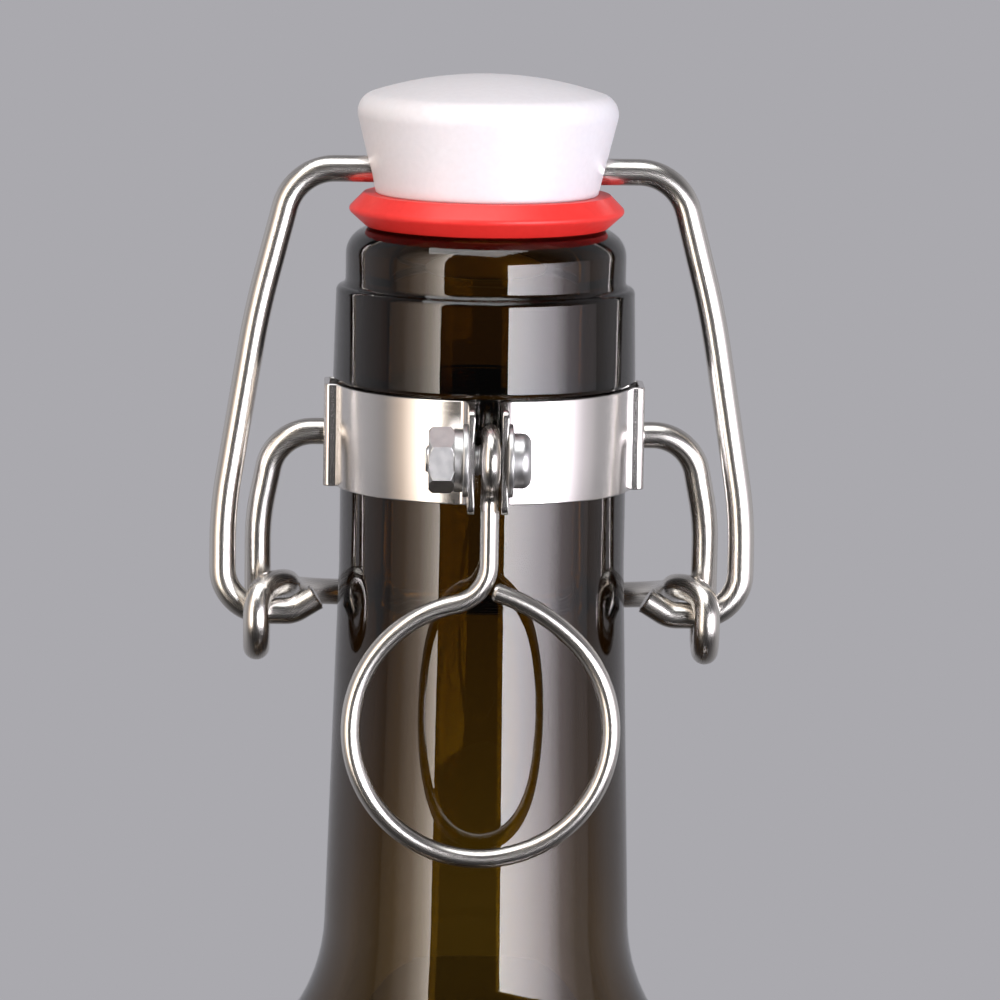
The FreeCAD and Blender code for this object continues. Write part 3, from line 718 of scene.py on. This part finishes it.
across = np.concatenate([rim_line[:, 0], rim_line[::-1, 0], rim_line[:1, 0]])
drop = np.concatenate([rim_line[:, 1], rim_line[::-1, 1], rim_line[:1, 1]])
sign = np.concatenate([np.ones(len(rim_line)), -np.ones(len(rim_line)), [1]])
grid = plan[:, None] + across[None, :, None] * out[:, None]
grid[:, :, 2] = collar_middle + sign * (tall[:, None] + drop)
grid[[0, -1]] = grid[[0, -1]].mean(axis=1, keepdims=True)
flat = np.stack([length[:, None] + 0 * across, grid[:, :, 2] + 3 * across], axis=-1)
collar = mesh_object("neck_collar_strip", grid, flat)
pivot_reach, ear_hole_reach = 18, 3
pivot_hole, ear_hole = wire_radius + pivot_clearance, screw_radius + screw_clearance
drill(collar, [rod_along_x(pivot_hole, -pivot_reach, pivot_reach, 0, collar_middle),
               rod_along_x(ear_hole, -ear_hole_reach, ear_hole_reach, screw_y, collar_middle)])
settle(collar, "bottle", "neck_collar", strip_steel)

# %% [markdown]
# ## Screw, nut and washers
# They all lie on the screw's axis, along X. Washers and the screw are turned outlines.
# The nut is the smaller of two radii at each point: a hexagon's, and a chamfer's cone.
# The screw's thread is a ridge that moves one pitch along for each turn, and two crossed slots make its drive.

# %% Small hardware on the screw's axis
washer_radius, washer_thickness, washer_edge = 3.5, 0.5, 0.12
lock_radius, lock_thickness = 3.0, 0.8
nut_flats, nut_height, nut_chamfer = 5.5, 2.4, 0.35
head_radius, head_height, head_round = 2.65, 1.7, 0.9
lock_foot = ear_outer + washer_thickness
nut_foot = lock_foot + lock_thickness


def on_screw(radius, x, turn):
    """Points at a radius and a turn about the screw's axis, at x along it; the turn starts at the top."""
    y, z = screw_y + radius * np.sin(turn), collar_middle + radius * np.cos(turn)
    return np.stack([x + 0 * turn, y, z], axis=-1)


def washer(name, inner, outer, thickness, foot, edge, columns=96):
    """A ring with a rounded rectangle as its section, laid on the screw's axis."""
    line = trace((inner, 0), [
        ((outer - edge, 0), None),
        ((outer, edge), (outer - edge, edge)),
        ((outer, thickness - edge), None),
        ((outer - edge, thickness), (outer - edge, thickness - edge)),
        ((inner, thickness), None),
    ], 5)
    turn = np.linspace(0, 2 * math.pi, columns + 1)[None]
    radius, height = line[:, 0, None], line[:, 1, None]
    return mesh_object(name, on_screw(radius + 0 * turn, foot + height, turn + 0 * radius))


screw_hole = screw_radius + screw_clearance
for name, node, foot in (("nut_washer_plate", "nut_washer", -lock_foot),
                         ("head_washer_plate", "head_washer", ear_outer)):
    plain = washer(name, screw_hole, washer_radius, washer_thickness, foot, washer_edge)
    settle(plain, "bottle", node, zinc)

lock_split, lock_split_slant = 0.6, math.radians(20)
split_turn = lock_split / lock_radius
lock_line = trace((screw_hole, 0), [
    ((lock_radius, 0), None), ((lock_radius, lock_thickness), None), ((screw_hole, lock_thickness), None)])
turn = np.linspace(split_turn / 2, 2 * math.pi - split_turn / 2, 97)
turn = np.concatenate([turn[:1], turn, turn[-1:]])
radius = lock_line[:, 0, None] + 0 * turn
height = lock_line[:, 1, None] + 0 * turn
radius[:, [0, -1]] = (screw_hole + lock_radius) / 2
height[:, [0, -1]] = lock_thickness / 2
slant = -math.tan(lock_split_slant) / lock_radius * (height - lock_thickness / 2)
lock = mesh_object("lock_washer_spring", on_screw(radius, height - nut_foot, turn + slant))
settle(lock, "bottle", "lock_washer", zinc)

thread_clearance = 0.03
corner_radius = nut_flats / math.sqrt(3)
nut_bore = screw_radius + thread_clearance
turn = np.linspace(0, 2 * math.pi, 193)[None]
hexagon = nut_flats / 2 / np.cos((turn % (math.pi / 3)) - math.pi / 6)
nut_edge = nut_height - nut_chamfer
levels = np.concatenate([[0], np.linspace(0, nut_chamfer, 8), np.linspace(nut_chamfer, nut_edge, 4)[1:-1],
                         np.linspace(nut_edge, nut_height, 8), [nut_height, 0]])[:, None]
cone = corner_radius - nut_chamfer + np.minimum(np.minimum(levels, nut_height - levels), nut_chamfer)
side = np.minimum(hexagon, cone)
side[[0, -2, -1]] = nut_bore
side = np.concatenate([side, side[:1]])
levels = np.concatenate([levels, levels[:1]])
nut_grid = on_screw(side, levels - nut_foot - nut_height, turn + 0 * side)
nut = mesh_object("clamp_nut_hexagon", nut_grid, crease=20.0)
settle(nut, "bottle", "clamp_nut", zinc)

pitch, thread_depth, tip_chamfer, screw_end = 0.5, 0.16, 0.35, 0.3
recess_length, recess_width, recess_depth = 3.0, 0.7, 0.9
shank_end = -(nut_foot + nut_height + screw_end)
head_foot = ear_outer + washer_thickness
head_end = head_foot + head_height
turn = np.linspace(0, 2 * math.pi, 65)[None]
along = np.linspace(shank_end, head_foot, 200)[:, None]
ridge = 0.5 + 0.5 * np.cos(2 * math.pi * (along / pitch) - turn)
shank = screw_radius - thread_depth * ridge - np.clip(tip_chamfer - (along - shank_end), 0, None)
head_line = trace((head_radius, 0), [
    ((head_radius, head_height - head_round), None),
    ((head_radius - head_round, head_height), (head_radius - head_round, head_height - head_round)),
    ((0, head_height), None)])[:-1]
radius = np.concatenate([0 * turn, shank, head_line[:, 0, None] + 0 * turn])
along = np.concatenate([along[:1], along, head_line[:, 1, None] + head_foot])
screw = mesh_object("clamp_screw_pan_head", on_screw(radius, along, turn + 0 * radius))


def slot_cutter(turn):
    """A closed slot from the recess's floor to past the head: rows of its four corners, and a point at each end."""
    x = np.array([head_end - recess_depth] * 2 + [head_end + recess_depth] * 2)[:, None]
    size = np.array([0, 1, 1, 0])[:, None]
    long = recess_length / 2 * np.array([-1, 1, 1, -1, -1])
    wide = recess_width / 2 * np.array([-1, -1, 1, 1, -1])
    y = screw_y + size * (long * math.cos(turn) - wide * math.sin(turn))
    z = collar_middle + size * (long * math.sin(turn) + wide * math.cos(turn))
    return mesh_object("cutter", np.stack([x + 0 * y, y, z], axis=-1))


drill(screw, [slot_cutter(0), slot_cutter(math.pi / 2)])
settle(screw, "bottle", "clamp_screw", zinc)

# %% [markdown]
# ## Floor
# The bottle stands on a sheet of plain pale paper, matt and faintly fibrous.
# The paper is left out of reflections, so that the steel mirrors the dark lower room, as it does in the picture.
# The two soft boxes stand close to it and would burn it out, so they skip it: the top lamp draws the shadow on it.

# %% Floor of matt paper
floor_sink, soft_radius, floor_radius = 0.05, 300.0, 900.0
floor_turn = np.linspace(0, 2 * math.pi, 97)
floor_radii = np.array([0.0, soft_radius, floor_radius])[:, None]
floor = mesh_object("floor", np.stack([floor_radii * np.cos(floor_turn), floor_radii * np.sin(floor_turn),
                                       0 * floor_radii + 0 * floor_turn - floor_sink], axis=-1))
paper, tree, output = blank_material("matt_paper_sweep")
place = add_node(tree, "ShaderNodeTexCoord")
fibre_mm = 4.0
fibre = add_node(tree, "ShaderNodeTexNoise", {"Vector": place.outputs["Object"], "Scale": 1 / (fibre_mm * MM)})
shade = add_node(tree, "ShaderNodeValToRGB", {"Fac": fibre.outputs["Fac"]})
set_stops(shade, [(0.0, "#d2d1d5"), (1.0, "#d8d7db")])
matt = add_node(tree, "ShaderNodeBsdfPrincipled", {"Base Color": shade.outputs["Color"], "Roughness": 0.9})
tree.links.new(matt.outputs["BSDF"], output.inputs["Surface"])
floor.data.materials.append(paper)
floor.visible_glossy = False
beside_boxes = bpy.data.collections.new("beside_soft_boxes")
beside_boxes.objects.link(floor)
beside_boxes.collection_objects[0].light_linking.link_state = "EXCLUDE"

# %% [markdown]
# ## Room
# The room is a colour for each direction. Behind the bottle it is the grey of the picture's background,
# at the sides it is paler, and in front, where the camera is, it is dark. It gets darker above and below,
# which puts dark lines beside the bright ones in the round wires.

# %% Room light by direction
BACKGROUND = "#aaa9ae"
world = bpy.data.worlds.new("grey_room")
bpy.context.scene.world = world
world.use_nodes = True
tree = world.node_tree
tree.nodes.clear()
rays = add_node(tree, "ShaderNodeLightPath")
place = add_node(tree, "ShaderNodeTexCoord")
split = add_node(tree, "ShaderNodeSeparateXYZ", {"Vector": place.outputs["Generated"]})
depth = add_node(tree, "ShaderNodeMapRange", {"Value": split.outputs["Y"], "From Min": -1.0, "From Max": 1.0})
room = add_node(tree, "ShaderNodeValToRGB", {"Fac": depth.outputs["Result"]})
set_stops(room, [(0.0, "#333232"), (0.32, "#4a4848"), (0.5, "#a5a3a5"), (0.7, "#c4c2c5"), (1.0, BACKGROUND)])
height = add_node(tree, "ShaderNodeMapRange", {"Value": split.outputs["Z"], "From Min": -1.0, "From Max": 1.0})
dusk = add_node(tree, "ShaderNodeValToRGB", {"Fac": height.outputs["Result"]})
set_stops(dusk, [(0.0, "#62605e"), (0.42, "#ffffff"), (0.62, "#ffffff"), (1.0, "#8a8a8c")])
walls = add_node(tree, "ShaderNodeMix", {"Factor": 1.0, 6: room.outputs["Color"], 7: dusk.outputs["Color"]},
                 data_type="RGBA", blend_type="MULTIPLY")
pick = add_node(tree, "ShaderNodeMix", {"Factor": rays.outputs["Is Camera Ray"], 6: walls.outputs[2],
                                        7: linear(BACKGROUND)}, data_type="RGBA")
shown = add_node(tree, "ShaderNodeBackground", {"Color": pick.outputs[2], "Strength": 1.0})
add_node(tree, "ShaderNodeOutputWorld", {"Surface": shown.outputs["Background"]})
print("room of", len(room.color_ramp.elements), "greys from front to back")

# %% [markdown]
# ## Soft boxes
# A tall box on the left and a broad one on the right stand in front, with a dark gap between them.
# Glass and steel show them as long upright streaks, and their colours fade sideways, so the streaks do too.
# A third lamp above lights the cap's top and the floor.

# %% Soft boxes


def soft_box(name, azimuth, height, distance, aim, size, strength, stops):
    """An area lamp that faces a height on the axis; stops give its colour across, from X = 0 to 1 of the lamp."""
    lamp = bpy.data.lights.new(name, "AREA")
    lamp.shape = "RECTANGLE"
    lamp.size, lamp.size_y = size
    lamp.energy = strength * size[0] * size[1] * math.pi
    lamp.use_nodes = True
    nodes = lamp.node_tree
    nodes.nodes.clear()
    where = add_node(nodes, "ShaderNodeNewGeometry")
    parts = add_node(nodes, "ShaderNodeSeparateXYZ", {"Vector": where.outputs["Parametric"]})
    fade = add_node(nodes, "ShaderNodeValToRGB", {"Fac": parts.outputs["X"]})
    set_stops(fade, stops)
    glow = add_node(nodes, "ShaderNodeEmission", {"Color": fade.outputs["Color"], "Strength": 1.0})
    add_node(nodes, "ShaderNodeOutputLight", {"Surface": glow.outputs["Emission"]})
    turn = math.radians(azimuth)
    place = Vector((distance * math.sin(turn), -distance * math.cos(turn), height))
    target = Vector((0, 0, aim))
    holder = bpy.data.objects.new(name, lamp)
    facing = (target - place).to_track_quat("-Z", "Y").to_matrix().to_4x4()
    holder.matrix_world = Matrix.Translation(place) @ facing
    holder.visible_camera = False
    bpy.context.scene.collection.objects.link(holder)
    print(name, "is", size[0], "by", size[1], "m")
    return holder


left_box = soft_box(
    "soft_box_left", azimuth=-57, height=0.7, distance=0.9, aim=0.7, size=(0.72, 1.6), strength=7.8,
    stops=[(0.0, "#2c2824"), (0.3, "#544b43"), (0.6, "#8c8177"), (0.82, "#cabfb3"), (1.0, "#fff5ea")])
right_box = soft_box(
    "soft_box_right", azimuth=54.5, height=0.22, distance=0.9, aim=0.22, size=(1.41, 0.6), strength=12.5,
    stops=[(0.0, "#fffdff"), (0.22, "#e8e5ec"), (0.48, "#b6b2b8"), (0.62, "#6c686c"), (0.8, "#3c3a3c"),
           (1.0, "#242324")])
soft_box(
    "soft_box_top", azimuth=-25, height=1.2, distance=0.3, aim=0.3, size=(0.9, 0.7), strength=3.6,
    stops=[(0.0, "#ffffff"), (1.0, "#ffffff")])
left_box.light_linking.receiver_collection = beside_boxes
right_box.light_linking.receiver_collection = beside_boxes

# %% [markdown]
# ## Camera
# The picture is taken from a little above and almost straight in front, with a long lens and a slight roll.
# The lens follows from the picture's scale: 10.25 pixels for each millimetre at the neck, 600 mm away.

# %% Camera at the photograph's view
azimuth, elevation, roll = math.radians(1.55), math.radians(8.3), math.radians(0.905)
distance_mm, pixels_per_mm, picture_width, sensor_mm = 600.0, 10.25, 1000, 36.0
shift_right_mm, shift_up_mm = 1.62, -6.54
towards = Vector((-math.sin(azimuth) * math.cos(elevation), -math.cos(azimuth) * math.cos(elevation),
                  math.sin(elevation)))
level_right = Vector((0, 0, 1)).cross(towards).normalized()
level_up = towards.cross(level_right)
right = level_right * math.cos(roll) + level_up * math.sin(roll)
up = level_up * math.cos(roll) - level_right * math.sin(roll)
aim = Vector((0, 0, collar_middle)) + right * shift_right_mm + up * shift_up_mm
eye = (aim + towards * distance_mm) * MM
lens = bpy.data.cameras.new("studio_camera")
lens.sensor_width = sensor_mm
lens.lens = distance_mm * pixels_per_mm * sensor_mm / picture_width
camera = bpy.data.objects.new("studio_camera", lens)
camera.matrix_world = Matrix((right, up, towards)).transposed().to_4x4()
camera.location = eye
bpy.context.scene.collection.objects.link(camera)
bpy.context.scene.camera = camera
bpy.context.scene.view_settings.view_transform = "Standard"
print("lens of", round(lens.lens, 1), "mm")
